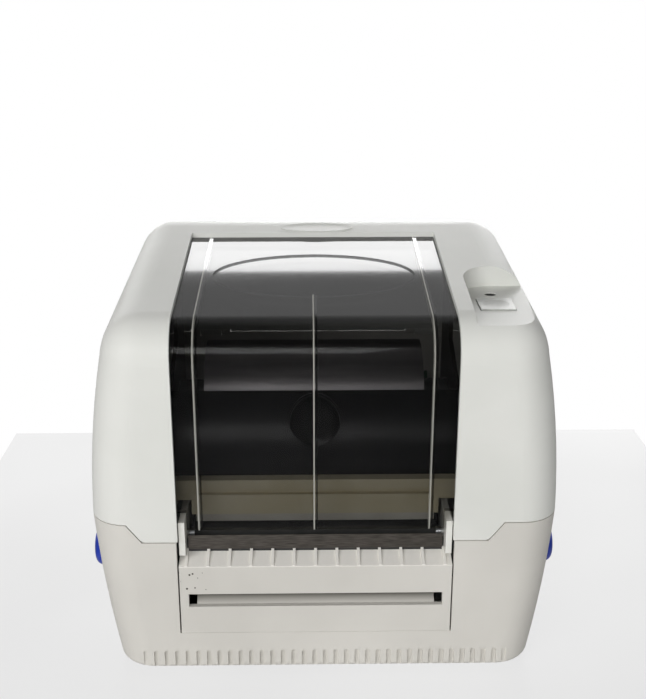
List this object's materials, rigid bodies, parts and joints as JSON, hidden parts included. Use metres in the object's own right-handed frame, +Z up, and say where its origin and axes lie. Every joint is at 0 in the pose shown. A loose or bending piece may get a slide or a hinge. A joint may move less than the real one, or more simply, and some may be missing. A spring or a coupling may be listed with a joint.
{
  "type": "thermal label printer",
  "caption": "Desktop thermal-transfer label printer with a hinged clamshell lid, smoked window, ribbon drive, geared platen, sliding roll holders and side release buttons.",
  "frame": {"origin": "centre of the footprint on the surface the printer stands on", "axes": "+X to the viewer's right, front faces -Y, +Z up"},
  "size_m": [0.221, 0.285, 0.188],
  "materials": {
    "lid_plastic": "fine matt texture",
    "base_plastic": "fine matt texture",
    "panel_plastic": "fine matt texture",
    "smoked_window": "clear smoked gloss",
    "button_plastic": "satin",
    "blue_plastic": "satin gloss",
    "light_lens": "clear",
    "black_plastic": "matt",
    "dark_tray": "matt",
    "white_plastic": "satin",
    "cream_plastic": "satin",
    "gear_plastic": "satin",
    "steel": "satin",
    "dark_steel": "satin",
    "rubber": "matt",
    "ribbon": "smooth",
    "board": "satin",
    "ceramic": "smooth"
  },
  "bodies": {
    "base": {"base_housing": "base_plastic", "rubber_feet": "rubber", "base_screws": "steel", "hinge_pins": "steel", "front_panel": "panel_plastic", "tear_bar": "dark_steel", "media_tray": "dark_tray", "gap_sensor": "black_plastic", "gear_plate": "steel", "motor_body": "dark_steel", "bearing_plates": "white_plastic", "main_board": "board", "usb_socket": "steel", "serial_socket": "steel", "power_inlet": "black_plastic", "switch_body": "black_plastic"},
    "lid": {"lid_shell": "lid_plastic", "lid_window": "smoked_window", "key_board": "board", "light_pipe": "light_lens", "ribbon_frame": "dark_steel", "head_carriage": "cream_plastic", "print_head": "ceramic", "head_cover": "black_plastic"},
    "feed_key": {"feed_button": "button_plastic"},
    "release_left": {"release_button_left": "blue_plastic"},
    "release_right": {"release_button_right": "blue_plastic"},
    "platen": {"platen_rubber": "rubber", "platen_shaft": "steel", "platen_gear": "gear_plastic"},
    "idler": {"idler_gear": "gear_plastic"},
    "motor_rotor": {"motor_pinion": "gear_plastic", "motor_shaft": "steel"},
    "holder_left": {"roll_holder_left": "dark_tray"},
    "holder_right": {"roll_holder_right": "dark_tray"},
    "ribbon_supply": {"supply_spindle": "black_plastic", "ribbon_roll": "ribbon"},
    "ribbon_rewind": {"rewind_spindle": "black_plastic", "rewind_core": "white_plastic"},
    "rocker": {"power_rocker": "black_plastic"}
  },
  "joints": [
    {"name": "lid_hinge", "type": "hinge", "parent": "base", "child": "lid", "pos_m": [0, 0.138, 0.079], "axis": [-1, 0, 0], "range_deg": [0, 95]},
    {"name": "feed_press", "type": "slide", "parent": "lid", "child": "feed_key", "axis": [0, 0, -1], "range_m": [0, 0.0012], "stiffness_N_per_m": 800},
    {"name": "release_left_press", "type": "slide", "parent": "base", "child": "release_left", "axis": [1, 0, 0], "range_m": [0, 0.0035], "stiffness_N_per_m": 600},
    {"name": "release_right_press", "type": "slide", "parent": "base", "child": "release_right", "axis": [-1, 0, 0], "range_m": [0, 0.0035], "stiffness_N_per_m": 600},
    {"name": "platen_turn", "type": "hinge", "parent": "base", "child": "platen", "pos_m": [0, -0.1185, 0.062], "axis": [1, 0, 0], "continuous": true},
    {"name": "idler_turn", "type": "hinge", "parent": "base", "child": "idler", "pos_m": [0, -0.09059, 0.05072], "axis": [1, 0, 0], "continuous": true},
    {"name": "motor_turn", "type": "hinge", "parent": "base", "child": "motor_rotor", "pos_m": [0, -0.08651, 0.02495], "axis": [1, 0, 0], "continuous": true},
    {"name": "holder_left_slide", "type": "slide", "parent": "base", "child": "holder_left", "axis": [1, 0, 0], "range_m": [0, 0.038]},
    {"name": "holder_right_slide", "type": "slide", "parent": "base", "child": "holder_right", "axis": [-1, 0, 0], "range_m": [0, 0.038]},
    {"name": "supply_turn", "type": "hinge", "parent": "lid", "child": "ribbon_supply", "pos_m": [0, -0.0605, 0.112], "axis": [1, 0, 0], "continuous": true},
    {"name": "rewind_turn", "type": "hinge", "parent": "lid", "child": "ribbon_rewind", "pos_m": [0, -0.0965, 0.101], "axis": [1, 0, 0], "continuous": true},
    {"name": "rocker_tilt", "type": "hinge", "parent": "base", "child": "rocker", "pos_m": [-0.06, 0.1325, 0.03], "axis": [1, 0, 0], "range_deg": [-8, 8]}
  ],
  "couplings": [
    {"joint": "idler_turn", "follows": "platen_turn", "ratio": -0.66667},
    {"joint": "motor_turn", "follows": "platen_turn", "ratio": 1.5},
    {"joint": "holder_right_slide", "follows": "holder_left_slide", "ratio": 1}
  ]
}
